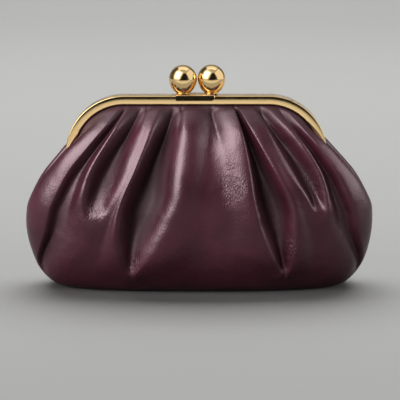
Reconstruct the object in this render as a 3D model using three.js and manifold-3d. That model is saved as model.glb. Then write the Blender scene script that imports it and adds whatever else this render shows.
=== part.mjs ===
// Evening clutch: a gathered leather pouch hung in a hinged metal frame that closes with two balls.
// Millimetres, +Z up, the front faces -Y, and the origin lies on the resting plane under the pouch's
// middle. The pieces are shaped about the frame's middle and shifted at the end.

import * as THREE from 'three';
import { mergeVertices } from 'three/addons/utils/BufferGeometryUtils.js';
import Module from 'manifold-3d';

const wasm = await Module();
wasm.setup();

// Metal frame: two channel halves, each a straight top with a quarter round at both ends
const FRAME_HALF_WIDTH = 90;
const FRAME_TOP = 134.1;
const CORNER_RADIUS = 40.5;
const FRAME_HEIGHT = 5.9;
const FRAME_DEPTH = 6;
const PARTING = 0.4;
const FRAME_EDGE = 1.2;
const WEB = 1.6;
const SLOT_FRONT = 4.4;
const SLOT_WIDTH = 2.6;
const SLOT_SWEEP = THREE.MathUtils.degToRad(83);
const SLOT_OVERCUT = 2;
const ARCH_SEGMENTS = 9;
const EDGE_SEGMENTS = 1;
const STRAIGHT = FRAME_HALF_WIDTH - CORNER_RADIUS;
const HINGE_LINE = FRAME_TOP - CORNER_RADIUS;
const FRAME_FACE = PARTING / 2 + FRAME_DEPTH;

// Hinge: an ear below each leg, lapped against the other half's ear and riveted through
const PIVOT_Z = 89;
const EAR = { radius: 3.2, hole: 1.6, thickness: 1.3, lap: 1.5, gap: 0.3, segments: 8 };
const EAR_ROUND = { start: THREE.MathUtils.degToRad(-130), end: THREE.MathUtils.degToRad(76) };
const RIVET = { shank: 1.2, head: 2.4, headThickness: 0.8, gap: 0.3, sides: 12 };

// Clasp: an angle plate saddled on each half and a ball on a short stem
const PLATE = { left: -14, right: 12.7, thickness: 0.7, gap: 0.3, lip: 4.3, inset: 0.6 };
const PLATE_CORNER = { left: 0.6, right: 3, segments: 6 };
const BALL = { radius: 9.6, x: 9.75, y: 0.9, z: 145.3, stem: 3.8, foot: 5, footHeight: 0.8 };
const BALL_FACETS = { rings: 12, sides: 20 };
const CLASP_X = 0.6;

// Leather pouch
const LEATHER = 2;
const SLIP = 0.3;
const POUCH_SHIFT = 2.1;
const BELLY = { halfWidth: 120.5, halfDepth: 39, z: 57, squareness: 2.5 };
const FOOT = { halfWidth: 92, halfDepth: 18, curve: 2.2 };
const COLLAR_SQUARENESS = 9;
const COLLAR_BLEND = 0.1;
const FORWARD_POWER = 0.7;
const SIDEWAYS_POWER = 1.12;
const FAN = 0.4;
const TUCKED_RADIUS = CORNER_RADIUS - WEB - SLIP;
const EXIT_DROP = 0.8;
const EXIT_RADIUS = CORNER_RADIUS - FRAME_HEIGHT - EXIT_DROP;
const LEATHER_SWEEP = THREE.MathUtils.degToRad(80);
const LEATHER_FRONT = SLOT_FRONT - SLIP;

// Levels down the pouch: -1 to 0 in the channel, 1 at the belly, 2 on the ground, 3 under the middle
const LEVELS = [-1, 0, 0.05, 0.14, 0.26, 0.4, 0.55, 0.7, 0.85, 0.98, 1.12, 1.28, 1.42, 1.54, 1.72, 2, 3];
const STATIONS = [0.05, 0.25, 0.55, 0.9, 1.2, 1.5];
const COLUMNS_PER_FOLD = 3;
const GATHER_SHARE = 0.45;
const GATHER_LEVEL = 0.06;
const PLEAT_SHARE = 0.6;
const PLEAT_END = { start: 0.1, end: 0.7 };
const NORMAL_STEP = 0.004;
const FIRST_LEVEL = 0.001;

// Ridges and valleys from the left seam to the right one. Columns: share of the way across at each of
// the stations, lift off the smooth wall in mm, level where it has risen, level where it has died out
// and how long it takes to die.
const FOLDS = [
  ['left seam', [-1, -1, -1, -1, -1, -1], -12, 0.08, 1.2, 1],
  ['left lobe', [-0.51, -0.48, -0.505, -0.562, -0.665, -0.89], 5, 0.4, 1.7, 0.9],
  ['left crease', [-0.474, -0.447, -0.472, -0.532, -0.63, -0.86], -8, 0.35, 1.6, 0.35],
  ['ridge 2', [-0.44, -0.415, -0.425, -0.42, -0.46, -0.6], 3.5, 0.25, 1.15, 0.5],
  ['valley 2', [-0.335, -0.31, -0.322, -0.345, -0.38, -0.46], -6, 0.3, 0.98, 0.25],
  ['shoulder 3', [-0.305, -0.265, -0.26, -0.295, -0.33, -0.36], 3, 0.25, 1.15, 0.5],
  ['ridge 3', [-0.285, -0.245, -0.237, -0.252, -0.265, -0.25], 4, 0.25, 1.4, 0.6],
  ['valley 3', [-0.185, -0.17, -0.16, -0.165, -0.202, -0.228], -8, 0.35, 1.52, 0.25],
  ['ridge 4', [-0.095, -0.08, -0.07, -0.075, -0.132, -0.204], 4.5, 0.3, 1.65, 0.5],
  ['valley 4', [0.1, 0.092, 0.088, 0.085, 0.08, 0.07], -1.5, 0.2, 0.95, 0.6],
  ['ridge 5', [0.19, 0.168, 0.148, 0.142, 0.163, 0.225], 4.5, 0.3, 1.45, 0.5],
  ['valley 5', [0.255, 0.228, 0.213, 0.21, 0.226, 0.246], -8, 0.35, 1.5, 0.25],
  ['ridge 6', [0.31, 0.278, 0.285, 0.292, 0.286, 0.266], 4, 0.25, 1.6, 0.4],
  ['shoulder 6', [0.328, 0.3, 0.318, 0.36, 0.38, 0.4], 3, 0.25, 1.15, 0.5],
  ['valley 6', [0.37, 0.357, 0.385, 0.43, 0.46, 0.5], -5.5, 0.3, 0.98, 0.25],
  ['ridge 7', [0.435, 0.44, 0.475, 0.512, 0.595, 0.74], 3.5, 0.25, 1.4, 0.5],
  ['right crease', [0.488, 0.49, 0.514, 0.552, 0.65, 0.87], -8, 0.35, 1.6, 0.35],
  ['right lobe', [0.53, 0.522, 0.548, 0.59, 0.69, 0.905], 5, 0.4, 1.7, 0.9],
  ['right seam', [1, 1, 1, 1, 1, 1], -12, 0.08, 1.2, 1],
].map(([name, across, lift, risen, end, fade]) => ({ name, across, lift, risen, end, fade }));

const { lerp, smoothstep, clamp } = THREE.MathUtils;
const quarter = (t) => Math.sin((Math.PI / 2) * t);

/** Merged, indexed copy of a geometry, without normals and texture coordinates. */
function welded(geometry) {
  const bare = geometry.clone();
  bare.deleteAttribute('normal');
  bare.deleteAttribute('uv');
  return mergeVertices(bare, 1e-4);
}

function toManifold(geometry) {
  const solid = welded(geometry);
  const vertProperties = new Float32Array(solid.attributes.position.array);
  const triVerts = new Uint32Array(solid.index.array);
  return new wasm.Manifold(new wasm.Mesh({ numProp: 3, vertProperties, triVerts }));
}

function fromManifold(manifold) {
  const mesh = manifold.getMesh();
  const geometry = new THREE.BufferGeometry();
  geometry.setAttribute('position', new THREE.BufferAttribute(mesh.vertProperties, 3));
  geometry.setIndex(new THREE.BufferAttribute(mesh.triVerts, 1));
  return geometry;
}

/** Point at share u of the way along an arch of the given corner radius, as x and z. */
function archPoint(u, radius) {
  const reach = Math.abs(u) * (STRAIGHT + EXIT_RADIUS * LEATHER_SWEEP);
  const angle = Math.max(0, reach - STRAIGHT) / EXIT_RADIUS;
  const x = Math.min(reach, STRAIGHT) + radius * Math.sin(angle);
  return { x: Math.sign(u) * x, z: HINGE_LINE + radius * Math.cos(angle) };
}

/** Outer face of the pouch with its folds left out, u across from seam to seam and w down the levels. */
function smoothWall(u, w, target) {
  const turn = u * (1 + FAN * (1 - Math.abs(u)));
  const swing = Math.abs(quarter(turn));
  const edge = (n) => (1 - Math.min(1, swing ** n)) ** (1 / n);
  if (w <= 0) {
    const top = archPoint(u, lerp(EXIT_RADIUS, TUCKED_RADIUS, -w));
    return target.set(top.x, -LEATHER_FRONT, top.z);
  }
  const bellyX = POUCH_SHIFT + Math.sign(u) * BELLY.halfWidth * swing;
  if (w <= 1) {
    const top = archPoint(u, EXIT_RADIUS);
    const spread = quarter(w);
    const depth = lerp(LEATHER_FRONT, BELLY.halfDepth, spread ** FORWARD_POWER);
    const plan = edge(BELLY.squareness + (COLLAR_SQUARENESS - BELLY.squareness) * (1 - w) ** 3);
    const y = -depth * lerp(1, plan, smoothstep(w, 0, COLLAR_BLEND));
    return target.set(lerp(top.x, bellyX, spread ** SIDEWAYS_POWER), y, lerp(top.z, BELLY.z, w));
  }
  const bellyY = -BELLY.halfDepth * edge(BELLY.squareness);
  const footX = POUCH_SHIFT + Math.sign(u) * FOOT.halfWidth * swing;
  const footY = -FOOT.halfDepth * edge(BELLY.squareness);
  if (w <= 2) {
    const drop = quarter(w - 1) ** (2 / FOOT.curve);
    const draw = 1 - Math.max(0, quarter(2 - w)) ** (2 / FOOT.curve);
    return target.set(lerp(bellyX, footX, draw), lerp(bellyY, footY, draw), BELLY.z * (1 - drop));
  }
  return target.set(footX, lerp(footY, 0, w - 2), 0);
}

/** Outward direction of the smooth wall. */
function wallNormal(u, w) {
  if (w <= 0) {
    return new THREE.Vector3(0, -1, 0);
  }
  if (w >= 2) {
    return new THREE.Vector3(0, 0, -1);
  }
  const point = (a, b) => smoothWall(clamp(a, -1, 1), clamp(b, FIRST_LEVEL, 2), new THREE.Vector3());
  const alongU = point(u + NORMAL_STEP, w).sub(point(u - NORMAL_STEP, w));
  const alongW = point(u, w + NORMAL_STEP).sub(point(u, w - NORMAL_STEP));
  const normal = alongW.cross(alongU);
  if (Math.abs(u) > 1 - NORMAL_STEP) {
    normal.y = 0;
  }
  return normal.normalize();
}

const foldPaths = FOLDS.map((fold) => new THREE.CubicInterpolant(STATIONS, fold.across, 1));
const foldAcross = (i, w) => foldPaths[i].evaluate(clamp(w, STATIONS[0], STATIONS.at(-1)))[0];

/** Lift of a fold at a level: part of it rises in the gathers right below the frame. Ridges and seams
 * die out smoothly, and valleys end in a rounded shelf like a pocket's. */
function foldLift(i, w) {
  const { lift, risen, end, fade } = FOLDS[i];
  const seam = i === 0 || i === FOLDS.length - 1;
  const gather = seam ? 0 : GATHER_SHARE;
  const rise = lerp(smoothstep(w, 0, risen), smoothstep(w, 0, GATHER_LEVEL), gather);
  const along = clamp((w - end + fade) / fade, 0, 1);
  const fall = lift < 0 && !seam ? 1 - along ** 2 : 1 - smoothstep(along, 0, 1);
  return lift * rise * fall;
}

/** Place across and lift at a grid column, counted in folds: half a cosine wave from line to line, and
 * near the frame a quarter sine that leaves the valleys sharp. */
function foldAt(column, w) {
  const i = Math.min(Math.floor(column), FOLDS.length - 2);
  const share = column - i;
  const before = foldLift(i, w);
  const after = foldLift(i + 1, w);
  const wave = 0.5 - 0.5 * Math.cos(Math.PI * share);
  const pleat = after > before ? quarter(share) : 1 - quarter(1 - share);
  const sharp = PLEAT_SHARE * (1 - smoothstep(w, PLEAT_END.start, PLEAT_END.end));
  return {
    u: lerp(foldAcross(i, w), foldAcross(i + 1, w), share),
    lift: lerp(before, after, lerp(wave, pleat, sharp)),
  };
}

/** One leather wall: a one-layer box of columns and rows bent to the folded pouch, outer and inner face. */
function pouchPanel() {
  const columns = (FOLDS.length - 1) * COLUMNS_PER_FOLD;
  const rows = LEVELS.length - 1;
  const panel = welded(new THREE.BoxGeometry(1, 1, 1, columns, rows, 1));
  const place = panel.attributes.position;
  for (let k = 0; k < place.count; k += 1) {
    const w = LEVELS[Math.round((0.5 - place.getY(k)) * rows)];
    const { u, lift } = foldAt(((place.getX(k) + 0.5) * columns) / COLUMNS_PER_FOLD, w);
    const offset = place.getZ(k) > 0 ? lift : lift - LEATHER;
    const point = smoothWall(u, w, new THREE.Vector3()).addScaledVector(wallNormal(u, w), offset);
    place.setXYZ(k, point.x, Math.min(point.y, -SLIP / 2), point.z);
  }
  return panel;
}

/** Band between two arches that share their corner centres, as a shape in x and z. */
function archBand(outer, inner, sweep) {
  const up = Math.PI / 2;
  const band = new THREE.Shape();
  band.absarc(-STRAIGHT, HINGE_LINE, outer, up + sweep, up, true);
  band.absarc(STRAIGHT, HINGE_LINE, outer, up, up - sweep, true);
  band.absarc(STRAIGHT, HINGE_LINE, inner, up - sweep, up, false);
  band.absarc(-STRAIGHT, HINGE_LINE, inner, up, up + sweep, false);
  band.closePath();
  return band;
}

/** Shape in x and z given a depth in y, with its front at the given y and its edges rounded. */
function frontSlab(shape, front, depth, edge, curveSegments) {
  const slab = new THREE.ExtrudeGeometry(shape, {
    depth: depth - 2 * edge,
    bevelEnabled: edge > 0,
    bevelThickness: edge,
    bevelSize: edge,
    bevelOffset: -edge,
    bevelSegments: EDGE_SEGMENTS,
    curveSegments,
  });
  return slab.rotateX(Math.PI / 2).translate(0, front + depth - edge, 0);
}

/** Shape in y and z given a thickness along x, starting at the given x. */
function sideSlab(shape, startX, thickness) {
  const extrusion = { depth: thickness, bevelEnabled: false, curveSegments: EAR.segments };
  const slab = new THREE.ExtrudeGeometry(shape, extrusion);
  const turn = new THREE.Matrix4().makeBasis(
    new THREE.Vector3(0, 1, 0),
    new THREE.Vector3(0, 0, 1),
    new THREE.Vector3(1, 0, 0),
  );
  return slab.applyMatrix4(turn).translate(startX, 0, 0);
}

/** Hinge ear in y and z: from the leg's end down to a drilled round on the pivot. */
function earShape() {
  const shoulder = HINGE_LINE + EAR.lap;
  const ear = new THREE.Shape();
  ear.moveTo(-FRAME_FACE + FRAME_EDGE, shoulder);
  ear.absarc(0, PIVOT_Z, EAR.radius, EAR_ROUND.start, EAR_ROUND.end, false);
  ear.lineTo(-PARTING / 2 - FRAME_EDGE, shoulder);
  ear.closePath();
  const hole = new THREE.Path();
  hole.absarc(0, PIVOT_Z, EAR.hole, 0, 2 * Math.PI, true);
  ear.holes.push(hole);
  return ear;
}

/** One half of the frame: a rounded arch with a slot for the leather and an ear at each end. */
function frameHalf() {
  const body = archBand(CORNER_RADIUS, CORNER_RADIUS - FRAME_HEIGHT, Math.PI / 2);
  const slot = archBand(CORNER_RADIUS - WEB, CORNER_RADIUS - FRAME_HEIGHT - SLOT_OVERCUT, SLOT_SWEEP);
  const outerEar = sideSlab(earShape(), -FRAME_HALF_WIDTH, EAR.thickness);
  const innerStart = FRAME_HALF_WIDTH - 2 * EAR.thickness - EAR.gap;
  const innerEar = sideSlab(earShape(), innerStart, EAR.thickness);
  const half = toManifold(frontSlab(body, -FRAME_FACE, FRAME_DEPTH, FRAME_EDGE, ARCH_SEGMENTS))
    .subtract(toManifold(frontSlab(slot, -SLOT_FRONT, SLOT_WIDTH, 0, ARCH_SEGMENTS)))
    .add(toManifold(outerEar))
    .add(toManifold(innerEar));
  return fromManifold(half);
}

/** Rivet along x through both ears, with a flat head at each end. */
function hingeRivet(startX, inward) {
  const length = 2 * EAR.thickness + EAR.gap + 2 * RIVET.gap;
  const { shank, head, headThickness } = RIVET;
  const profile = [
    [0, 0],
    [head, 0],
    [head, headThickness],
    [shank, headThickness],
    [shank, headThickness + length],
    [head, headThickness + length],
    [head, 2 * headThickness + length],
    [0, 2 * headThickness + length],
  ].map(([r, t]) => new THREE.Vector2(r, t));
  const rivet = new THREE.LatheGeometry(profile, RIVET.sides);
  rivet.rotateZ(-inward * Math.PI / 2);
  return rivet.translate(startX, 0, PIVOT_Z);
}

/** Angle plate: a lip in front of the frame's face and a flange over its top. */
function claspPlate() {
  const { left, right, thickness, gap, lip, inset } = PLATE;
  const { left: square, right: round, segments } = PLATE_CORNER;
  const top = FRAME_TOP + gap + thickness;
  const low = top - lip;
  const front = -FRAME_FACE - gap - thickness;
  const face = new THREE.Shape();
  face.moveTo(left, top);
  face.lineTo(left, low + square);
  face.absarc(left + square, low + square, square, Math.PI, 1.5 * Math.PI, false);
  face.absarc(right - round, low + round, round, -Math.PI / 2, 0, false);
  face.lineTo(right, top);
  face.closePath();
  const flange = new THREE.Shape();
  flange.moveTo(left, FRAME_TOP + gap);
  flange.lineTo(right, FRAME_TOP + gap);
  flange.lineTo(right, top);
  flange.lineTo(left, top);
  flange.closePath();
  const lipSlab = frontSlab(face, front, thickness, 0, segments);
  const flangeSlab = frontSlab(flange, front, -front - inset, 0, segments);
  return fromManifold(toManifold(lipSlab).add(toManifold(flangeSlab)));
}

/** Ball with a short flared stem, turned about its upright axis. */
function claspBall(x, y) {
  const { radius, z, stem, foot, footHeight } = BALL;
  const base = FRAME_TOP + PLATE.gap + PLATE.thickness + SLIP;
  const profile = [new THREE.Vector2(0, base - z), new THREE.Vector2(foot, base - z)];
  profile.push(new THREE.Vector2(foot, base - z + footHeight));
  const start = Math.asin(stem / radius);
  const { rings, sides } = BALL_FACETS;
  for (let k = 0; k <= rings; k += 1) {
    const angle = lerp(start, Math.PI, k / rings);
    profile.push(new THREE.Vector2(k === rings ? 0 : radius * Math.sin(angle), -radius * Math.cos(angle)));
  }
  return new THREE.LatheGeometry(profile, sides).rotateX(Math.PI / 2).translate(x, y, z);
}

/** The same piece on the other side of the clutch, turned half round about the upright axis. */
const turned = (geometry) => geometry.clone().rotateZ(Math.PI);

/** Mirror image in the plane between the halves, with its faces turned back outward. */
function mirrored(geometry) {
  const image = geometry.clone().scale(1, -1, 1);
  image.index.array.reverse();
  return image;
}

const clutch = new THREE.Group();
clutch.name = 'evening_clutch';

function addPiece(name, geometry, look) {
  const shape = welded(geometry).translate(-POUCH_SHIFT, 0, 0);
  const mesh = new THREE.Mesh(shape, new THREE.MeshStandardMaterial(look));
  mesh.name = name;
  clutch.add(mesh);
}

const leather = { color: 0x4a1f28, roughness: 0.45, metalness: 0 };
const brass = { color: 0xd0ae78, roughness: 0.15, metalness: 1 };
const panel = pouchPanel();
const half = frameHalf();
const plate = claspPlate();
const rivetStart = FRAME_HALF_WIDTH + RIVET.gap + RIVET.headThickness;

addPiece('front_panel', panel, leather);
addPiece('back_panel', mirrored(panel), leather);
addPiece('front_frame', half, brass);
addPiece('back_frame', turned(half), brass);
addPiece('front_clasp_plate', plate, brass);
addPiece('back_clasp_plate', turned(plate), brass);
addPiece('left_ball', claspBall(CLASP_X - BALL.x, -BALL.y), brass);
addPiece('right_ball', claspBall(CLASP_X + BALL.x, BALL.y), brass);
addPiece('left_hinge_rivet', hingeRivet(-rivetStart, 1), brass);
addPiece('right_hinge_rivet', hingeRivet(rivetStart, -1), brass);

export default clutch;
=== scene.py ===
import math

import bpy
import numpy as np
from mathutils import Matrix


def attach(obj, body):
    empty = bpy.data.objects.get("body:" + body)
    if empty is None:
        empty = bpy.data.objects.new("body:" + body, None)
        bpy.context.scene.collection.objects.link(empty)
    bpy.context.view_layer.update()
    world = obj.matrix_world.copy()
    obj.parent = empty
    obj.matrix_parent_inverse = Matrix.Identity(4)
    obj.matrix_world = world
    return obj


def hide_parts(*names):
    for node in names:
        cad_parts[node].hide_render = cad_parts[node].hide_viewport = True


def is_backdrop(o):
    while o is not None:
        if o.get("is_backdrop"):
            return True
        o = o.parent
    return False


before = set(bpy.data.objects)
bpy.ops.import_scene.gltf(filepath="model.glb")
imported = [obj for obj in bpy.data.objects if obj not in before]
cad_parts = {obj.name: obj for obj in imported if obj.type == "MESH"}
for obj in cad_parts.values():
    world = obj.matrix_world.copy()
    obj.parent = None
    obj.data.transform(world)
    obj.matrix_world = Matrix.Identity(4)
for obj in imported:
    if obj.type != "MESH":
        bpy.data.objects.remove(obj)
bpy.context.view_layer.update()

# Sizes are in millimetres and become metres where a mesh is made. The stage and its lights are in metres.
MM = 0.001
BODY = "root"

# Photograph: a long lens from the front, a little above the clutch
PHOTO_PIXELS = 400
PIXEL = 0.6965
CAMERA_DISTANCE = 1180.0
CAMERA_ELEVATION = math.radians(12.0)
CAMERA_AIM = (0.44, 0.0, 60.2)
SENSOR = 36.0

# Metal frame, with the pouch's middle as the origin and the frame a little to its left
POUCH_SHIFT = 2.1
FRAME_HALF_WIDTH = 90.0
FRAME_TOP = 134.1
CORNER_RADIUS = 40.5
FRAME_HEIGHT = 5.9
FRAME_DEPTH = 6.0
PARTING = 0.4
WEB = 1.6
SLOT_FRONT = 4.4
SLOT_WIDTH = 2.6
STRAIGHT = FRAME_HALF_WIDTH - CORNER_RADIUS
HINGE_LINE = FRAME_TOP - CORNER_RADIUS
FRAME_FACE = PARTING / 2 + FRAME_DEPTH
SOFT_EDGE, TOP_EDGE, INNER_EDGE = 0.7, 0.5, 0.3

# Hinge and clasp
PIVOT_Z = 89.0
FRAME_EDGE = 1.2
EAR_RADIUS, EAR_HOLE, EAR_THICKNESS, EAR_LAP, EAR_GAP = 3.2, 1.6, 1.3, 1.5, 0.3
EAR_ROUND_START, EAR_ROUND_END = math.radians(-130.0), math.radians(76.0)
RIVET_SHANK, RIVET_HEAD, RIVET_HEAD_THICKNESS, RIVET_GAP = 1.2, 2.4, 0.8, 0.3
# Points round the edge of a rivet's head: how far in from its rim and how far down from its top
RIVET_EDGE = ((0.5, 0.0), (0.15, 0.12), (0.0, 0.4))
PLATE_LEFT, PLATE_RIGHT, PLATE_ROUND = -14.0, 12.7, 3.0
PLATE_THICKNESS, PLATE_GAP, PLATE_LIP, PLATE_INSET, PLATE_LEAN = 0.7, 0.3, 4.3, 0.6, 0.38
LIP_EDGE, FLANGE_EDGE, BEND_OUTSIDE, BEND_INSIDE = 0.25, 0.2, 1.2, 0.4
CLASP_X, BALL_RADIUS, BALL_X, BALL_Y, BALL_Z = 0.6, 9.6, 9.75, 0.9, 145.3
BALL_STRETCH, FOOT_RADIUS, FOOT_HEIGHT, FOOT_EDGE = 1.14, 4.9, 0.5, 0.1

# Leather pouch
LEATHER = 2.0
SLIP = 0.3
BELLY_WIDTH, BELLY_DEPTH, BELLY_Z, BELLY_SQUARENESS = 120.5, 39.0, 57.0, 2.5
GROUND_WIDTH, GROUND_DEPTH, GROUND_CURVE = 92.0, 18.0, 2.2
COLLAR_SQUARENESS, COLLAR_BLEND = 9.0, 0.1
FORWARD_POWER, SIDEWAYS_POWER = 0.7, 1.12
FAN = 0.4
EXIT_DROP = 0.8
TUCKED_RADIUS = CORNER_RADIUS - WEB - SLIP
EXIT_RADIUS = CORNER_RADIUS - FRAME_HEIGHT - EXIT_DROP
LEATHER_SWEEP = math.radians(80.0)
LEATHER_FRONT = SLOT_FRONT - SLIP

# Levels down the pouch: -1 to 0 in the channel, 1 at the belly, 2 on the ground, 3 under the middle.
# Each fold gives its share of the way across at the stations, its lift off the smooth wall in mm, the
# level where it has risen, the level where it has died out and how long it takes to die.
STATIONS = (0.05, 0.25, 0.55, 0.9, 1.2, 1.5)
FOLDS = (
    ("left seam", (-1.0, -1.0, -1.0, -1.0, -1.0, -1.0), -12.0, 0.08, 1.2, 1.0),
    ("left lobe", (-0.535, -0.515, -0.51, -0.525, -0.625, -0.87), 3.0, 0.4, 1.7, 0.9),
    ("left crease", (-0.49, -0.472, -0.455, -0.466, -0.57, -0.82), -4.0, 0.35, 1.6, 0.35),
    ("ridge 2", (-0.468, -0.425, -0.393, -0.368, -0.385, -0.52), 3.5, 0.25, 1.15, 0.4),
    ("valley 2", (-0.385, -0.355, -0.322, -0.312, -0.335, -0.42), -8.0, 0.3, 1.02, 0.45),
    ("shoulder 3", (-0.31, -0.252, -0.222, -0.246, -0.292, -0.33), 3.0, 0.25, 1.15, 0.4),
    ("ridge 3", (-0.255, -0.22, -0.203, -0.222, -0.242, -0.232), 4.0, 0.25, 1.65, 0.4),
    ("valley 3", (-0.16, -0.155, -0.152, -0.158, -0.188, -0.208), -13.0, 0.35, 1.5, 0.75),
    ("ridge 4", (-0.072, -0.052, -0.047, -0.06, -0.106, -0.185), 4.5, 0.3, 1.65, 0.4),
    ("valley 4", (0.085, 0.06, 0.05, 0.047, 0.046, 0.045), -1.5, 0.2, 0.95, 0.6),
    ("ridge 5", (0.245, 0.203, 0.162, 0.15, 0.182, 0.25), 4.5, 0.3, 1.65, 0.4),
    ("valley 5", (0.268, 0.239, 0.207, 0.203, 0.231, 0.267), -11.5, 0.35, 1.48, 0.7),
    ("ridge 6", (0.288, 0.265, 0.253, 0.272, 0.291, 0.284), 4.0, 0.25, 1.65, 0.4),
    ("shoulder 6", (0.375, 0.336, 0.304, 0.335, 0.365, 0.39), 3.0, 0.25, 1.12, 0.4),
    ("valley 6", (0.435, 0.41, 0.382, 0.376, 0.41, 0.5), -7.0, 0.3, 0.97, 0.45),
    ("ridge 7", (0.495, 0.492, 0.456, 0.42, 0.46, 0.64), 3.0, 0.25, 1.2, 0.4),
    ("right crease", (0.58, 0.56, 0.507, 0.497, 0.6, 0.85), -4.0, 0.35, 1.6, 0.35),
    ("right lobe", (0.63, 0.605, 0.56, 0.557, 0.66, 0.9), 3.0, 0.4, 1.7, 0.9),
    ("right seam", (1.0, 1.0, 1.0, 1.0, 1.0, 1.0), -12.0, 0.08, 1.2, 1.0),
)
# Columns from fold to fold, rows down to the belly and to the ground, and how much closer the upper rows lie
COLUMNS_PER_FOLD, UPPER_ROWS, LOWER_ROWS, ROW_POWER = 16, 84, 52, 1.15
# Share of a fold's lift that rises in the gathers right below the frame, and the level where it has risen
GATHER_SHARE, GATHER_LEVEL = 0.45, 0.06
# Sharpness of the pleats at the frame, and the levels between which they soften
PLEAT_SHARE, PLEAT_END = 0.6, (0.1, 0.5)
# Flat share of a valley, the levels between which it opens and closes, and how broad the ridges roll
FLOOR_SHARE, FLOOR_START, FLOOR_END, ROLL = 0.33, (0.1, 0.9), (0.95, 1.3), 0.72
# Rounding of the fold lines, in columns
SOFTNESS, SOFT_REACH = 2.5, 6
# Most that the lining may lie under the outer face, in thicknesses of the leather
STEEPEST = 2.0
# Depth at which a pocket gets its full painted shade and dullness, and the share of painted shadow and
# dullness below the frame
POCKET_SHADE_AND_DULL_DEPTH = 7.0
UNDER_FRAME, UNDER_FRAME_END = 0.9, (0.05, 0.28)

# Short tucks at the frame: share across at the frame and at the end, width as a share, depth in mm and
# the level where it ends. All are full at the level TUCK_START.
TUCK_START = 0.03
TUCKS = (
    ("left of ridge 3", -0.34, -0.29, 0.016, 2.0, 0.3),
    ("left of ridge 4", -0.1, -0.08, 0.016, 2.5, 0.4),
    ("left of ridge 5", 0.105, 0.085, 0.03, 5.0, 0.5),
    ("left of ridge 7", 0.45, 0.44, 0.016, 2.0, 0.3),
)

# Rims that stand out below the pockets: share across, level, reach of both and height in mm
RIMS = (
    ("below pocket 2", -0.325, 1.06, 0.06, 0.11, 2.0),
    ("below pocket 3", -0.205, 1.54, 0.03, 0.08, 1.2),
    ("below pocket 5", 0.268, 1.52, 0.03, 0.08, 1.2),
    ("below pocket 6", 0.395, 1.0, 0.045, 0.1, 1.6),
)

# Unevenness of a hand-gathered wall in mm, the levels between which it starts below the frame and the
# heights in mm between which it starts above the ground
WAVE_HEIGHT, WAVE_START, WAVE_FOOT = 0.14, (0.1, 0.3), (4.0, 20.0)

# Places where the leather is pressed into fine wrinkles: share across, level, and reach of both
PUCKERS = (
    ("wall of pocket 2", -0.285, 0.72, 0.035, 0.16),
    ("end of pocket 2", -0.33, 0.98, 0.06, 0.09),
    ("end of pocket 3", -0.19, 1.38, 0.03, 0.12),
    ("slope of ridge 5", 0.1, 0.68, 0.035, 0.3),
    ("end of pocket 5", 0.272, 1.25, 0.025, 0.14),
    ("wall of pocket 6", 0.4, 0.62, 0.035, 0.2),
    ("left corner", -0.84, 1.48, 0.06, 0.12),
    ("right corner", 0.84, 1.48, 0.06, 0.12),
)

# Sizes of the patterns in the leather and of the haze on the metal, the wrinkles' length in widths, and the
# height of the leather's relief
DYE_CLOUD, PORE, WRINKLE, WRINKLE_LENGTH, PRESSED_PATCH, SWELL = 28.0, 1.5, 1.0, 2.5, 12.0, 11.0
HANDLING = 9.0
RELIEF = 0.35


def linear(hex_colour):
    """sRGB hex to a linear RGBA value."""
    values = [int(hex_colour[i : i + 2], 16) / 255 for i in (1, 3, 5)]
    return [v / 12.92 if v <= 0.04045 else ((v + 0.055) / 1.055) ** 2.4 for v in values] + [1.0]


def smoothstep(x, low, high):
    """0 below low, 1 above high and an S-curve between."""
    t = np.clip((x - low) / (high - low), 0.0, 1.0)
    return t * t * (3.0 - 2.0 * t)


def quarter(t):
    """Sine of t quarter turns."""
    return np.sin(0.5 * np.pi * t)


def mix(a, b, t):
    """a where t is 0, b where t is 1 and a straight line between."""
    return a + (b - a) * t


# Meshes

def add_mesh(name, points, faces, crisp=None):
    """A smooth-shaded object at the origin from points in millimetres and faces, with the edges sharper
    than the angle crisp, in degrees, kept as edges."""
    mesh = bpy.data.meshes.new(name)
    mesh.from_pydata((points * MM).tolist(), [], [list(f) for f in faces])
    mesh.polygons.foreach_set("use_smooth", np.ones(len(mesh.polygons), bool))
    if crisp is not None:
        mesh.set_sharp_from_angle(angle=math.radians(crisp))
    mesh.update()
    obj = bpy.data.objects.new(name, mesh)
    bpy.context.scene.collection.objects.link(obj)
    return obj


def grid_faces(rows, columns, start=0, close_rows=False, close_columns=False, flip=False):
    """Quads of a grid whose vertices run row by row, with its last row or column joined to its first."""
    i = np.arange(rows if close_rows else rows - 1)[:, None]
    j = np.arange(columns if close_columns else columns - 1)[None, :]
    below, beside = (i + 1) % rows, (j + 1) % columns
    corners = [i * columns + j, below * columns + j, below * columns + beside, i * columns + beside]
    quads = np.stack(np.broadcast_arrays(*corners), axis=-1).reshape(-1, 4) + start
    return quads[:, ::-1] if flip else quads


def dress(obj, material, slot, *nodes):
    """Gives a piece its material and its body, and hides the solids that it stands for. The slot is not used.
    """
    obj.data.materials.append(material)
    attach(obj, BODY)
    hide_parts(*nodes)
    return obj


# Leather walls

def arch_point(u, radius):
    """x and z at share u along an arch: straight across the top, then round each corner."""
    reach = np.abs(u) * (STRAIGHT + EXIT_RADIUS * LEATHER_SWEEP)
    angle = np.maximum(0.0, reach - STRAIGHT) / EXIT_RADIUS
    x = np.sign(u) * (np.minimum(reach, STRAIGHT) + radius * np.sin(angle)) - POUCH_SHIFT
    return x, HINGE_LINE + radius * np.cos(angle)


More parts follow.
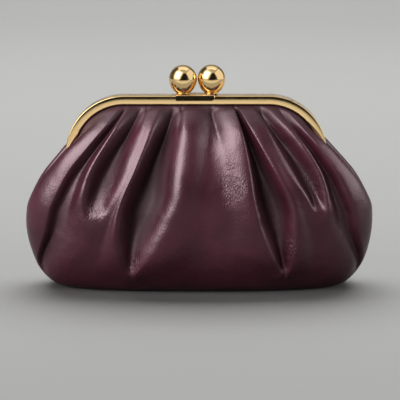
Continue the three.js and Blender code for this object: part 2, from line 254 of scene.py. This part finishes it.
def smooth_wall(u, w):
    """Outer face without folds. Down to the belly the arch opens out into a superellipse, its width and
    depth growing with powers of a quarter sine; below it shrinks along a superellipse to the ground; then it
    runs flat to the middle line."""
    u, w = np.broadcast_arrays(u, w)
    swing = np.abs(quarter(u * (1.0 + FAN * (1.0 - np.abs(u)))))

    def plan(power):
        """Share of the depth on a superellipse of that power."""
        return (1.0 - np.minimum(1.0, swing**power)) ** (1.0 / power)

    tucked_x, tucked_z = arch_point(u, mix(EXIT_RADIUS, TUCKED_RADIUS, np.clip(-w, 0.0, 1.0)))
    upper, lower, under = np.clip(w, 0.0, 1.0), np.clip(w - 1.0, 0.0, 1.0), np.clip(w - 2.0, 0.0, 1.0)
    spread = quarter(upper)
    depth = mix(LEATHER_FRONT, BELLY_DEPTH, spread**FORWARD_POWER)
    squareness = mix(BELLY_SQUARENESS, COLLAR_SQUARENESS, (1.0 - upper) ** 3)
    belly_x, belly_y = np.sign(u) * BELLY_WIDTH * swing, -BELLY_DEPTH * plan(BELLY_SQUARENESS)
    ground_x, ground_y = np.sign(u) * GROUND_WIDTH * swing, -GROUND_DEPTH * plan(BELLY_SQUARENESS)
    upper_x = mix(tucked_x, belly_x, spread**SIDEWAYS_POWER)
    upper_y = -depth * mix(1.0, plan(squareness), smoothstep(upper, 0.0, COLLAR_BLEND))
    upper_z = mix(tucked_z, BELLY_Z, upper)
    drop = quarter(lower) ** (2.0 / GROUND_CURVE)
    draw = 1.0 - np.maximum(0.0, quarter(1.0 - lower)) ** (2.0 / GROUND_CURVE)
    lower_x, lower_y = mix(belly_x, ground_x, draw), mix(belly_y, ground_y, draw)
    x = np.where(w > 1.0, lower_x, upper_x)
    y = np.where(w > 1.0, mix(lower_y, 0.0, under), upper_y)
    z = np.where(w > 1.0, BELLY_Z * (1.0 - drop), upper_z)
    return np.stack([x, y, z], axis=-1)


def wall_normal(u, w):
    """Outward direction of the smooth wall: straight forward in the channel, straight down underneath."""
    step = 0.004
    near = np.clip(w, 0.001 + step, 2.0 - step)
    across = smooth_wall(np.clip(u + step, -1.0, 1.0), near) - smooth_wall(np.clip(u - step, -1.0, 1.0), near)
    down = smooth_wall(u, near + step) - smooth_wall(u, near - step)
    normal = np.cross(down, across)
    normal[..., 1] = np.where(np.abs(u) > 1.0 - step, 0.0, normal[..., 1])
    normal /= np.linalg.norm(normal, axis=-1, keepdims=True)
    normal[w <= 0.0] = (0.0, -1.0, 0.0)
    normal[w >= 2.0] = (0.0, 0.0, -1.0)
    return normal


def fold_paths(w):
    """Share across of every fold at the levels w: a cubic through its stations with their mean slopes."""
    across = np.array([fold[1] for fold in FOLDS])
    at = np.clip(w, STATIONS[0], STATIONS[-1])
    slopes = np.gradient(across, STATIONS, axis=1)
    k = np.clip(np.searchsorted(STATIONS, at, side="right") - 1, 0, len(STATIONS) - 2)
    span = np.diff(STATIONS)[k]
    t = (at - np.array(STATIONS)[k]) / span
    start, end = across[:, k], across[:, k + 1]
    rise = (3.0 - 2.0 * t) * t * t
    bend = span * (slopes[:, k] * t * (1.0 - t) ** 2 - slopes[:, k + 1] * t * t * (1.0 - t))
    return mix(start, end, rise) + bend


def fold_lifts(w):
    """Lift of every fold at the levels w: part of it rises in the gathers right below the frame, the rest
    farther down, both with an S-curve. Ridges and seams die out with an S-curve too, and valleys with a
    parabola, which ends them in a rounded shelf like a pocket's."""
    lift, risen, end, fade = (np.array([fold[k] for fold in FOLDS])[:, None] for k in (2, 3, 4, 5))
    inner = np.abs([fold[1][0] for fold in FOLDS])[:, None] < 1.0
    level = w[None, :]
    gather = np.where(inner, GATHER_SHARE, 0.0)
    rise = mix(smoothstep(level, 0.0, risen), smoothstep(level, 0.0, GATHER_LEVEL), gather)
    along = np.clip((level - end + fade) / fade, 0.0, 1.0)
    fall = np.where(inner & (lift < 0.0), 1.0 - along**2, 1.0 - smoothstep(along, 0.0, 1.0))
    return lift * rise * fall


def wall_levels():
    """Levels of the grid's rows, closer together under the frame."""
    upper = np.linspace(0.0, 1.0, UPPER_ROWS) ** ROW_POWER
    lower = np.linspace(1.0, 2.0, LOWER_ROWS)[1:]
    return np.concatenate([[-1.0, -0.5], upper, lower, [2.33, 2.67, 3.0]])


def softened(lift):
    """Each row of lifts averaged with its neighbours by a bell-shaped weight, which rounds the fold lines."""
    reach = np.arange(-SOFT_REACH, SOFT_REACH + 1)
    weight = np.exp(-0.5 * (reach / SOFTNESS) ** 2)
    wide = np.pad(lift, ((0, 0), (SOFT_REACH, SOFT_REACH)), mode="edge")
    windows = np.lib.stride_tricks.sliding_window_view(wide, len(reach), axis=1)
    return windows @ (weight / weight.sum())


def frame_tucks(u, level):
    """Depth of the short tucks at the frame: each falls off on both sides like a sharp peak and dies out
    down to its end."""
    depth = np.zeros_like(u)
    for _, top, bottom, width, deepest, end in TUCKS:
        beside = np.abs(u - mix(top, bottom, level / end)) / width
        length = smoothstep(level, 0.0, TUCK_START) * (1.0 - smoothstep(level, 0.0, end))
        depth += deepest * length * np.exp(-beside)
    return depth


def bells(u, level, rows):
    """Bell-shaped hills on the wall, one for each row of place across, level and reach of both."""
    return [np.exp(-(((u - at) / wide) ** 2) - ((level - down) / tall) ** 2) for at, down, wide, tall in rows]


def hand_waves(points):
    """Slight unevenness of a hand-gathered wall in mm: three crossing sine waves along x and z, 23 to 75 mm
    long, that die out near the ground."""
    x, z = points[..., 0], points[..., 2]
    waves = np.sin(x / 5.3 + 1.4 * np.sin(z / 8.0)) + np.sin(z / 6.1 - x / 9.0) + np.sin(x / 3.7 + z / 12.0)
    return WAVE_HEIGHT * waves * smoothstep(z, *WAVE_FOOT)


def gathers(w):
    """Share across and lift of every grid point at the levels w. Columns follow the folds. From a valley
    to the next ridge the lift stays on the valley's flat floor for a share of the way and climbs the rest
    with half a cosine wave of that way to the power ROLL; near the frame it climbs with a quarter sine, which
    leaves the valley sharp. Below the pleats each row is softened."""
    count = (len(FOLDS) - 1) * COLUMNS_PER_FOLD
    column = np.arange(count + 1) / COLUMNS_PER_FOLD
    i = np.minimum(column.astype(int), len(FOLDS) - 2)
    share = (column - i)[None, :]
    paths, lifts = fold_paths(w), fold_lifts(w)
    u = mix(paths[i].T, paths[i + 1].T, share)
    before, after = lifts[i].T, lifts[i + 1].T
    rising = after > before
    inner = (i > 0) & (i < len(FOLDS) - 2)
    floor = FLOOR_SHARE * smoothstep(w, *FLOOR_START) * (1.0 - smoothstep(w, *FLOOR_END))
    floor = floor[:, None] * inner
    way = np.clip((np.where(rising, share, 1.0 - share) - floor) / (1.0 - floor), 0.0, 1.0)
    sharp = PLEAT_SHARE * (1.0 - smoothstep(w, *PLEAT_END))[:, None]
    climb = mix(0.5 - 0.5 * np.cos(np.pi * way**ROLL), quarter(way), sharp)
    lift = mix(before, after, np.where(rising, climb, 1.0 - climb))
    return u, mix(lift, softened(lift), smoothstep(w, *PLEAT_END)[:, None])


def two_layer_faces(rows, columns, flip):
    """Quads of the outer grid, of the inner one behind it and of the four strips that join their edges."""
    layer = rows * columns
    first_row, last_row = np.arange(columns), np.arange(columns) + (rows - 1) * columns
    left, right = np.arange(rows) * columns, np.arange(rows) * columns + columns - 1
    strips = []
    for edge, turn in ((first_row, True), (last_row, False), (left, False), (right, True)):
        quads = np.stack([edge[:-1], edge[1:], edge[1:] + layer, edge[:-1] + layer], axis=-1)
        strips.append(quads[:, ::-1] if turn != flip else quads)
    outer = grid_faces(rows, columns, flip=flip)
    inner = grid_faces(rows, columns, start=layer, flip=not flip)
    return np.concatenate([outer, inner, *strips])


def leather_panel(name, side, material):
    """One gathered wall: the smooth wall moved along its normal by the lift of the folds, less the tucks,
    plus the waves and the rims. The lining lies under it by the leather's thickness times the slope's
    length, so that a steep fold stays as thick. The back wall is the front one mirrored in y."""
    w = wall_levels()
    u, lift = gathers(w)
    level = np.broadcast_to(w[:, None], u.shape)
    base, normal = smooth_wall(u, level), wall_normal(u, level)
    rims = np.tensordot([row[5] for row in RIMS], bells(u, level, [row[1:5] for row in RIMS]), axes=1)
    waves = hand_waves(base) * smoothstep(level, *WAVE_START)
    lift = lift - frame_tucks(u, level) + waves + rims
    outer = base + normal * lift[..., None]
    run = np.linalg.norm(np.gradient(base, axis=1), axis=-1)
    steep = np.minimum(np.hypot(1.0, np.gradient(lift, axis=1) / run), STEEPEST)
    lining = outer - normal * (LEATHER * steep)[..., None]
    layers = np.stack([outer, lining])
    layers[..., 1] = side * np.minimum(layers[..., 1], -SLIP / 2)
    obj = add_mesh("dressed_" + name, layers.reshape(-1, 3), two_layer_faces(*u.shape, side < 0))
    # Painted shade: this mask darkens the leather's colour by a pocket's depth and, as painted shadow of the
    # frame, right below the frame. The same mask also dulls the sheen.
    frame_shade_and_dullness = UNDER_FRAME * (1.0 - smoothstep(level, *UNDER_FRAME_END))
    pocket = np.maximum(np.clip(-lift / POCKET_SHADE_AND_DULL_DEPTH, 0.0, 1.0), frame_shade_and_dullness)
    creasing = np.max(bells(u, level, [row[1:] for row in PUCKERS]), axis=0)
    for title, values in (("pocket", pocket), ("creasing", creasing)):
        attribute = obj.data.attributes.new(title, "FLOAT", "POINT")
        attribute.data.foreach_set("value", np.tile(values.ravel(), 2))
    dress(obj, material, "leather", name)


# Metal pieces

def tube_faces(rows, columns):
    """Faces of a closed profile carried along a path, with a cap at each end."""
    caps = [np.arange(columns), np.arange((rows - 1) * columns, rows * columns)[::-1]]
    return list(grid_faces(rows, columns, close_columns=True)) + caps


def arch_sweep(profile, sweep, steps):
    """A closed profile of radius and y carried round the frame's arch, with both ends capped."""
    corner = np.linspace(0.0, sweep, steps)
    angle = np.concatenate([-corner[::-1], corner])
    middle = np.concatenate([np.full(steps, -STRAIGHT), np.full(steps, STRAIGHT)])
    radius, y = profile[:, 0], profile[:, 1]
    x = middle[:, None] + radius * np.sin(angle)[:, None] - POUCH_SHIFT
    z = HINGE_LINE + radius * np.cos(angle)[:, None]
    points = np.stack([x, np.broadcast_to(y, x.shape), z], axis=-1)
    return points.reshape(-1, 3), tube_faces(*x.shape)


def rounded_profile(corners, steps=5):
    """Closed outline through corners given as (a, b, radius), each corner an arc of that radius."""
    place = np.array([c[:2] for c in corners], float)
    result = []
    for k, (*_, radius) in enumerate(corners):
        here = place[k]
        back, ahead = place[k - 1] - here, place[(k + 1) % len(corners)] - here
        back, ahead = back / np.linalg.norm(back), ahead / np.linalg.norm(ahead)
        half = 0.5 * math.acos(float(np.clip(back @ ahead, -1.0, 1.0)))
        inward = (back + ahead) / np.linalg.norm(back + ahead)
        centre = here + inward * radius / math.sin(half)
        start = here + back * radius / math.tan(half) - centre
        end = here + ahead * radius / math.tan(half) - centre
        t = np.linspace(0.0, 1.0, steps)[:, None]
        opening = math.pi - 2.0 * half
        arc = (np.sin((1.0 - t) * opening) * start + np.sin(t * opening) * end) / math.sin(opening)
        result.append(centre + arc)
    return np.concatenate(result)


def turn_half(points):
    """The same points on the other side, turned half round about the frame's upright axis."""
    return points * (-1.0, -1.0, 1.0) - (2.0 * POUCH_SHIFT, 0.0, 0.0)


def joined(*shells):
    """Points and faces of several closed surfaces in one mesh."""
    points, faces = np.empty((0, 3)), []
    for shell_points, shell_faces in shells:
        faces += [np.asarray(face) + len(points) for face in shell_faces]
        points = np.concatenate([points, shell_points])
    return points, faces


def hinge_ear(start):
    """Drilled plate below a leg's end. Its outline in y and z runs from the leg down and round the pivot;
    the hole has a point at the same angle as each of the outline's, and both are carried along x."""
    shoulder = HINGE_LINE + EAR_LAP
    turn = np.linspace(EAR_ROUND_START, EAR_ROUND_END, 40)
    rounded = np.stack([EAR_RADIUS * np.cos(turn), PIVOT_Z + EAR_RADIUS * np.sin(turn)], axis=-1)
    inner_corner = np.array([-PARTING / 2 - FRAME_EDGE, shoulder])
    outer_corner = np.array([-FRAME_FACE + FRAME_EDGE, shoulder])
    outline = np.concatenate([rounded, [inner_corner], np.linspace(outer_corner, rounded[0], 14)[:-1]])
    angle = np.arctan2(outline[:, 1] - PIVOT_Z, outline[:, 0])
    hole = np.stack([EAR_HOLE * np.cos(angle), PIVOT_Z + EAR_HOLE * np.sin(angle)], axis=-1)
    rings = np.stack([hole, outline, outline, hole])
    x = np.array([start, start, start + EAR_THICKNESS, start + EAR_THICKNESS]) - POUCH_SHIFT
    x = np.broadcast_to(x[:, None, None], (4, len(outline), 1))
    points = np.concatenate([x, rings], axis=-1).reshape(-1, 3)
    return points, grid_faces(4, len(outline), close_rows=True, close_columns=True)


def frame_half(name, material, turned):
    """Channel section with rounded edges, carried round the arch, with an ear on the outside of one leg and
    one on the inside of the other."""
    outer, inner = CORNER_RADIUS, CORNER_RADIUS - FRAME_HEIGHT
    front, back = -FRAME_FACE, -PARTING / 2
    slot_front, slot_back = -SLOT_FRONT, -SLOT_FRONT + SLOT_WIDTH
    root = CORNER_RADIUS - WEB
    profile = rounded_profile([
        (outer, front, SOFT_EDGE), (outer, back, TOP_EDGE),
        (inner, back, INNER_EDGE), (inner, slot_back, INNER_EDGE),
        (root, slot_back, INNER_EDGE), (root, slot_front, INNER_EDGE),
        (inner, slot_front, TOP_EDGE), (inner, front, SOFT_EDGE),
    ])
    inside_ear = FRAME_HALF_WIDTH - 2.0 * EAR_THICKNESS - EAR_GAP
    points, faces = joined(
        arch_sweep(profile, math.pi / 2, steps=48),
        hinge_ear(-FRAME_HALF_WIDTH),
        hinge_ear(inside_ear),
    )
    points = turn_half(points) if turned else points
    return dress(add_mesh("dressed_" + name, points, faces, crisp=50.0), material, "gold_metal", name)


def clasp_plate(name, material, turned):
    """Saddle over a frame half: an angle section whose lip leans out in front of the frame's face and whose
    flange lies on its top, carried along x, with the lip drawn up round its right-hand corner."""
    under = FRAME_TOP + PLATE_GAP
    top = under + PLATE_THICKNESS
    low = top - PLATE_LIP
    front = -FRAME_FACE - PLATE_GAP - PLATE_THICKNESS
    profile = rounded_profile([
        (front - PLATE_LEAN, low, LIP_EDGE), (front + PLATE_LEAN, top, BEND_OUTSIDE),
        (-PLATE_INSET, top, FLANGE_EDGE), (-PLATE_INSET, under, FLANGE_EDGE),
        (front + PLATE_THICKNESS + 0.5 * PLATE_LEAN, under, BEND_INSIDE),
        (front + PLATE_THICKNESS - PLATE_LEAN, low, LIP_EDGE),
    ])
    square = np.linspace(PLATE_LEFT, PLATE_RIGHT - PLATE_ROUND, 12)
    corner = PLATE_RIGHT - PLATE_ROUND + PLATE_ROUND * quarter(np.linspace(0.0, 1.0, 14))
    x = np.concatenate([square, corner[1:]])
    past = np.clip((x - PLATE_RIGHT + PLATE_ROUND) / PLATE_ROUND, 0.0, 1.0)
    lip = 1.0 - PLATE_ROUND / PLATE_LIP * (1.0 - np.sqrt(1.0 - past**2))
    y, z = profile[:, 0], profile[:, 1]
    z = np.where(z < under, under - (under - z) * lip[:, None], z)
    points = np.stack(np.broadcast_arrays(x[:, None] - POUCH_SHIFT, y, z), axis=-1).reshape(-1, 3)
    points = turn_half(points) if turned else points
    obj = add_mesh("dressed_" + name, points, tube_faces(*z.shape), crisp=40.0)
    return dress(obj, material, "gold_metal", name)


def lathe(profile, steps):
    """Profile of radius and height turned about z, starting and ending on the axis."""
    angle = np.linspace(0.0, 2.0 * np.pi, steps, endpoint=False)
    inside = profile[1:-1]
    radius, height = inside[:, :1], inside[:, 1:]
    rings = np.stack([radius * np.cos(angle), radius * np.sin(angle), height + 0.0 * angle], axis=-1)
    ends = [[0.0, 0.0, profile[0, 1]], [0.0, 0.0, profile[-1, 1]]]
    points = np.concatenate([rings.reshape(-1, 3), ends])
    here = np.arange(steps)
    after, last = (here + 1) % steps, (len(inside) - 1) * steps
    low, high = np.full(steps, len(points) - 2), np.full(steps, len(points) - 1)
    faces = list(grid_faces(len(inside), steps, close_columns=True, flip=True))
    faces += list(np.stack([low, after, here], axis=-1))
    faces += list(np.stack([high, last + here, last + after], axis=-1))
    return points, faces


def clasp_ball(name, x, y, material):
    """Ball on a short foot, turned about its upright axis: a circle above the middle, and below it an
    ellipse a little longer than the circle, down to the foot."""
    base = FRAME_TOP + PLATE_GAP + PLATE_THICKNESS + SLIP
    foot_top = base + FOOT_HEIGHT
    drawn_out = BALL_RADIUS * BALL_STRETCH
    start = math.acos((BALL_Z - foot_top) / drawn_out)
    angle = np.linspace(start, np.pi, 60)
    below = np.where(np.cos(angle) > 0.0, drawn_out, BALL_RADIUS)
    ball = np.stack([BALL_RADIUS * np.sin(angle), BALL_Z - below * np.cos(angle)], axis=-1)
    foot = np.array([
        [0.0, base], [FOOT_RADIUS - FOOT_EDGE, base], [FOOT_RADIUS, base + FOOT_EDGE],
        [FOOT_RADIUS, foot_top - FOOT_EDGE], [FOOT_RADIUS - FOOT_EDGE, foot_top],
    ])
    points, faces = lathe(np.concatenate([foot, ball]), steps=96)
    points = points + (x - POUCH_SHIFT, y, 0.0)
    return dress(add_mesh("dressed_" + name, points, faces, crisp=50.0), material, "gold_metal", name)


def hinge_rivet(name, middle, material):
    """Pin through both ears with a flat rounded head at each end, turned about its own axis, which lies
    along x."""
    half = EAR_THICKNESS + EAR_GAP / 2 + RIVET_GAP + RIVET_HEAD_THICKNESS
    neck = half - RIVET_HEAD_THICKNESS
    edge = [[RIVET_HEAD - inward, half - down] for inward, down in RIVET_EDGE]
    upper = np.array([[0.0, half], *edge, [RIVET_HEAD, neck], [RIVET_SHANK, neck]])
    profile = np.concatenate([upper * (1.0, -1.0), upper[::-1]])
    points, faces = lathe(profile, steps=40)
    points = points[:, [2, 0, 1]] + (middle - POUCH_SHIFT, 0.0, PIVOT_Z)
    return dress(add_mesh("dressed_" + name, points, faces, crisp=40.0), material, "gold_metal", name)


# Materials

def add_node(tree, kind, links=None, fixed=None, **settings):
    """Adds a node, links its sockets from (node, output) pairs, gives fixed values to sockets by name or
    number, and sets its properties."""
    node = tree.nodes.new(kind)
    for name, value in settings.items():
        setattr(node, name, value)
    for socket, value in (fixed or {}).items():
        node.inputs[socket].default_value = value
    for socket, (source, output) in (links or {}).items():
        tree.links.new(source.outputs[output], node.inputs[socket])
    return node


def new_material(name):
    """A material with an empty node tree."""
    material = bpy.data.materials.new(name)
    material.use_nodes = True
    tree = material.node_tree
    tree.nodes.clear()
    return material, tree


def burgundy_leather():
    """Aniline-dyed calf leather with a waxed finish: a dark burgundy with painted shade in its pockets and
    below the frame, a soft broad sheen broken up by pores, and small wrinkles where the leather is pressed
    together."""
    material, tree = new_material("burgundy_calf_leather")
    place = add_node(tree, "ShaderNodeTexCoord")
    pocket = add_node(tree, "ShaderNodeAttribute", attribute_name="pocket")
    clouds = add_node(
        tree, "ShaderNodeTexNoise", {"Vector": (place, "Object")},
        {"Scale": 1.0 / (DYE_CLOUD * MM), "Detail": 3.0},
    )
    dye = add_node(tree, "ShaderNodeValToRGB", {"Fac": (clouds, "Fac")})
    dye.color_ramp.elements[0].position, dye.color_ramp.elements[1].position = 0.3, 0.7
    dye.color_ramp.elements[0].color, dye.color_ramp.elements[1].color = linear("#230912"), linear("#2f0e19")
    # Painted shade: the colour is darkened where the mask is high, in deep pockets and in the frame's shadow
    # just below it.
    painted_pocket_shade = add_node(
        tree, "ShaderNodeMapRange", {"Value": (pocket, "Fac")},
        {"From Min": 0.0, "From Max": 1.0, "To Min": 1.0, "To Max": 0.55},
    )
    colour = add_node(tree, "ShaderNodeHueSaturation", {"Color": (dye, "Color"), "Value": (painted_pocket_shade, "Result")})
    # Pores are about 0.4 mm apart and would not show at this distance, so they are drawn coarser.
    pores = add_node(
        tree, "ShaderNodeTexVoronoi", {"Vector": (place, "Object")}, {"Scale": 1.0 / (PORE * MM)}
    )
    pored = add_node(
        tree, "ShaderNodeMapRange", {"Value": (pores, "Distance")},
        {"From Min": 0.0, "From Max": 0.6, "To Min": 0.0, "To Max": 0.16},
    )
    # Wrinkles run down the folds, in patches where the leather is pressed. They are about 0.5 mm wide and
    # drawn twice as coarse, to show.
    lengthened = add_node(
        tree, "ShaderNodeMapping", {"Vector": (place, "Object")}, {"Scale": (1.0, 1.0, 1.0 / WRINKLE_LENGTH)}
    )
    wrinkles = add_node(
        tree, "ShaderNodeTexNoise", {"Vector": (lengthened, "Vector")},
        {"Scale": 1.0 / (WRINKLE * MM), "Detail": 2.0},
    )
    creased = add_node(
        tree, "ShaderNodeMapRange", {"Value": (wrinkles, "Fac")},
        {"From Min": 0.42, "From Max": 0.58, "To Min": 0.0, "To Max": 0.62},
    )
    patches = add_node(
        tree, "ShaderNodeTexNoise", {"Vector": (place, "Object")},
        {"Scale": 1.0 / (PRESSED_PATCH * MM), "Detail": 2.0},
    )
    patchy = add_node(
        tree, "ShaderNodeMapRange", {"Value": (patches, "Fac")},
        {"From Min": 0.4, "From Max": 0.55, "To Min": 0.0, "To Max": 1.0},
    )
    creasing = add_node(tree, "ShaderNodeAttribute", attribute_name="creasing")
    pressed = add_node(
        tree, "ShaderNodeMath", {0: (patchy, "Result"), 1: (creasing, "Fac")}, operation="MULTIPLY"
    )
    wrinkled = add_node(
        tree, "ShaderNodeMath", {0: (creased, "Result"), 1: (pressed, "Value")}, operation="MULTIPLY"
    )
    swells = add_node(
        tree, "ShaderNodeTexNoise", {"Vector": (place, "Object")},
        {"Scale": 1.0 / (SWELL * MM), "Detail": 1.0},
    )
    uneven = add_node(
        tree, "ShaderNodeMapRange", {"Value": (swells, "Fac")},
        {"From Min": 0.3, "From Max": 0.7, "To Min": 0.0, "To Max": 0.6},
    )
    fine = add_node(tree, "ShaderNodeMath", {0: (wrinkled, "Value"), 1: (pored, "Result")}, operation="ADD")
    height = add_node(tree, "ShaderNodeMath", {0: (fine, "Value"), 1: (uneven, "Result")}, operation="ADD")
    surface = add_node(
        tree, "ShaderNodeBump", {"Height": (height, "Value")}, {"Strength": 1.0, "Distance": RELIEF * MM}
    )
    waxed = add_node(
        tree, "ShaderNodeMapRange", {"Value": (clouds, "Fac")},
        {"From Min": 0.3, "From Max": 0.7, "To Min": 0.35, "To Max": 0.42},
    )
    unpolished = add_node(
        tree, "ShaderNodeMapRange", {"Value": (pocket, "Fac")},
        {"From Min": 0.3, "From Max": 1.0, "To Min": 0.0, "To Max": 0.25},
    )
    gloss = add_node(
        tree, "ShaderNodeMath", {0: (waxed, "Result"), 1: (unpolished, "Result")}, operation="ADD"
    )
    shader = add_node(
        tree, "ShaderNodeBsdfPrincipled",
        {"Base Color": (colour, "Color"), "Roughness": (gloss, "Value"), "Normal": (surface, "Normal")},
        {"Specular IOR Level": 0.5, "Specular Tint": linear("#ffe2ea")},
    )
    add_node(tree, "ShaderNodeOutputMaterial", {"Surface": (shader, "BSDF")})
    return material


def gold_plate():
    """Brass with a polished gold plating: a clear warm mirror, a little hazier where it is handled."""
    material, tree = new_material("polished_gold_plated_brass")
    place = add_node(tree, "ShaderNodeTexCoord")
    handling = add_node(
        tree, "ShaderNodeTexNoise", {"Vector": (place, "Object")},
        {"Scale": 1.0 / (HANDLING * MM), "Detail": 3.0},
    )
    haze = add_node(
        tree, "ShaderNodeMapRange", {"Value": (handling, "Fac")},
        {"From Min": 0.35, "From Max": 0.7, "To Min": 0.07, "To Max": 0.14},
    )
    shader = add_node(
        tree, "ShaderNodeBsdfPrincipled", {"Roughness": (haze, "Result")},
        {"Base Color": linear("#f8d59a"), "Metallic": 1.0},
    )
    add_node(tree, "ShaderNodeOutputMaterial", {"Surface": (shader, "BSDF")})
    return material


def matt(name, colour):
    """Paper or card: an even matt surface."""
    material, tree = new_material(name)
    finish = {"Base Color": linear(colour), "Roughness": 0.9}
    shader = add_node(tree, "ShaderNodeBsdfPrincipled", fixed=finish)
    add_node(tree, "ShaderNodeOutputMaterial", {"Surface": (shader, "BSDF")})
    return material


# Camera, stage and light

def photo_camera():
    """Camera in front and a little above, whose lens gives the photograph's pixel size at the aim."""
    camera = bpy.data.objects.new("photo_camera", bpy.data.cameras.new("photo_camera"))
    bpy.context.scene.collection.objects.link(camera)
    back = CAMERA_DISTANCE * math.cos(CAMERA_ELEVATION)
    up = CAMERA_DISTANCE * math.sin(CAMERA_ELEVATION)
    camera.location = [v * MM for v in (CAMERA_AIM[0], CAMERA_AIM[1] - back, CAMERA_AIM[2] + up)]
    camera.rotation_euler = (math.pi / 2 - CAMERA_ELEVATION, 0.0, 0.0)
    camera.data.sensor_width = SENSOR
    camera.data.lens = SENSOR * CAMERA_DISTANCE / (PHOTO_PIXELS * PIXEL)
    camera.data.clip_end = 50.0
    bpy.context.scene.camera = camera


def area_light(name, place, aim, size, power, receivers):
    """Softbox of a width and height at a place, turned to its aim, that lights the receivers alone."""
    light = bpy.data.lights.new(name, "AREA")
    light.shape = "RECTANGLE"
    light.size, light.size_y = size
    light.energy = power
    obj = bpy.data.objects.new(name, light)
    bpy.context.scene.collection.objects.link(obj)
    direction = np.array(aim) - np.array(place)
    yaw = math.atan2(direction[0], direction[1])
    flat = math.hypot(direction[0], direction[1])
    pitch = math.atan2(direction[2], flat)
    obj.location = place
    obj.rotation_euler = (math.pi / 2 + pitch, 0.0, -yaw)
    lit = bpy.data.collections.new("lit_by_" + name)
    for receiver in receivers:
        lit.objects.link(receiver)
    obj.light_linking.receiver_collection = lit


def studio_sweep(material):
    """Floor that curves up into a backdrop: a profile of floor, quarter round and wall, carried sideways."""
    radius, front, back, reach, height = 1.2, -4.0, 1.6, 4.0, 5.0
    angle = np.linspace(0.0, np.pi / 2, 24)
    y = np.concatenate([[front], back + radius * np.sin(angle), [back + radius]])
    z = np.concatenate([[0.0], radius * (1.0 - np.cos(angle)), [height]])
    x = np.array([-reach, reach])
    points = np.stack([
        np.broadcast_to(x[None, :], (len(y), 2)),
        np.broadcast_to(y[:, None], (len(y), 2)),
        np.broadcast_to(z[:, None], (len(y), 2)),
    ], axis=-1).reshape(-1, 3) / MM
    sweep = add_mesh("studio_sweep", points, grid_faces(len(y), 2, flip=True))
    sweep.data.materials.append(material)
    sweep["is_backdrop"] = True


def card(name, material, low, high):
    """A flat card from one corner to the opposite one, standing or lying, out of the camera's view."""
    (x0, y0, z0), (x1, y1, z1) = low, high
    corners = np.array([[x0, y0, z0], [x1, y0, z0], [x1, y1, z1], [x0, y1, z1]]) / MM
    obj = add_mesh(name, corners, [[0, 1, 2, 3]])
    obj.data.materials.append(material)
    obj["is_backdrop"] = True
    return obj


# Camera and pieces of the clutch

photo_camera()
leather = burgundy_leather()
gold = gold_plate()
leather_panel("front_panel", 1, leather)
leather_panel("back_panel", -1, leather)
frame_half("front_frame", gold, False)
frame_half("back_frame", gold, True)
clasp_plate("front_clasp_plate", gold, False)
clasp_plate("back_clasp_plate", gold, True)
clasp_ball("left_ball", CLASP_X - BALL_X, -BALL_Y, gold)
clasp_ball("right_ball", CLASP_X + BALL_X, BALL_Y, gold)
hinge_middle = FRAME_HALF_WIDTH - EAR_THICKNESS - EAR_GAP / 2
hinge_rivet("left_hinge_rivet", -hinge_middle, gold)
hinge_rivet("right_hinge_rivet", hinge_middle, gold)

# Stage: grey paper, a dark card behind the camera and a white one on the floor for the metal to reflect

studio_sweep(matt("grey_paper", "#b0b0ae"))
card("dark_card", matt("black_card", "#0a0a0a"), (-1.4, -1.9, 0.0), (1.4, -1.9, 2.6))
card("white_card", matt("white_card", "#f8f8f6"), (-0.9, -1.1, 0.001), (0.9, -0.3, 0.001))
pieces = [obj for obj in bpy.context.scene.objects if obj.type == "MESH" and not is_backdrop(obj)]
stage = [obj for obj in bpy.context.scene.objects if obj.type == "MESH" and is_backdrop(obj)]
leather_pieces = [obj for obj in pieces if leather in list(obj.data.materials)]
gold_pieces = [obj for obj in pieces if gold in list(obj.data.materials)]

# Lights: leather, metal and stage are lit apart, as with flags between them

LEFT, LEFT_LOW = (-1.02, -0.84, 1.13), (-1.04, -0.82, 1.0)
RIGHT, ABOVE = (1.6, -0.1, 0.75), (0.0, 0.86, 2.15)
CLUTCH = (0.0, 0.0, 0.1)
AMBIENT = 0.1
area_light("key_softbox", LEFT, CLUTCH, (1.35, 1.95), 116.0, leather_pieces)
area_light("key_on_metal", LEFT_LOW, CLUTCH, (1.3, 1.6), 21.0, gold_pieces)
area_light("key_spill_on_metal", LEFT_LOW, CLUTCH, (2.2, 2.4), 12.0, gold_pieces)
area_light("right_softbox", RIGHT, CLUTCH, (1.6, 1.2), 28.0, leather_pieces)
area_light("right_on_metal", RIGHT, CLUTCH, (2.6, 2.4), 16.0, gold_pieces)
area_light("ceiling_on_metal", (0.0, -0.4, 2.4), CLUTCH, (3.0, 2.0), 7.0, gold_pieces)
area_light("top_softbox", ABOVE, (0.0, 0.2, 0.0), (3.2, 1.4), 59.0, stage)
area_light("left_on_floor", (-1.6, -0.7, 0.5), CLUTCH, (1.0, 0.8), 5.5, stage)
area_light("right_on_floor", (1.6, -0.7, 0.5), CLUTCH, (1.0, 0.8), 4.5, stage)
area_light("top_on_clutch", (0.1, 0.8, 2.2), CLUTCH, (2.2, 1.6), 10.0, pieces)
area_light("backdrop_light", (0.0, 2.3, 2.4), (0.0, 2.3, 0.0), (3.0, 1.6), 25.0, stage)
world = bpy.context.scene.world or bpy.data.worlds.new("studio")
bpy.context.scene.world = world
world.use_nodes = True
world.node_tree.nodes["Background"].inputs["Color"].default_value = (1.0, 1.0, 1.0, 1.0)
world.node_tree.nodes["Background"].inputs["Strength"].default_value = AMBIENT
bpy.context.scene.view_settings.view_transform = "Standard"
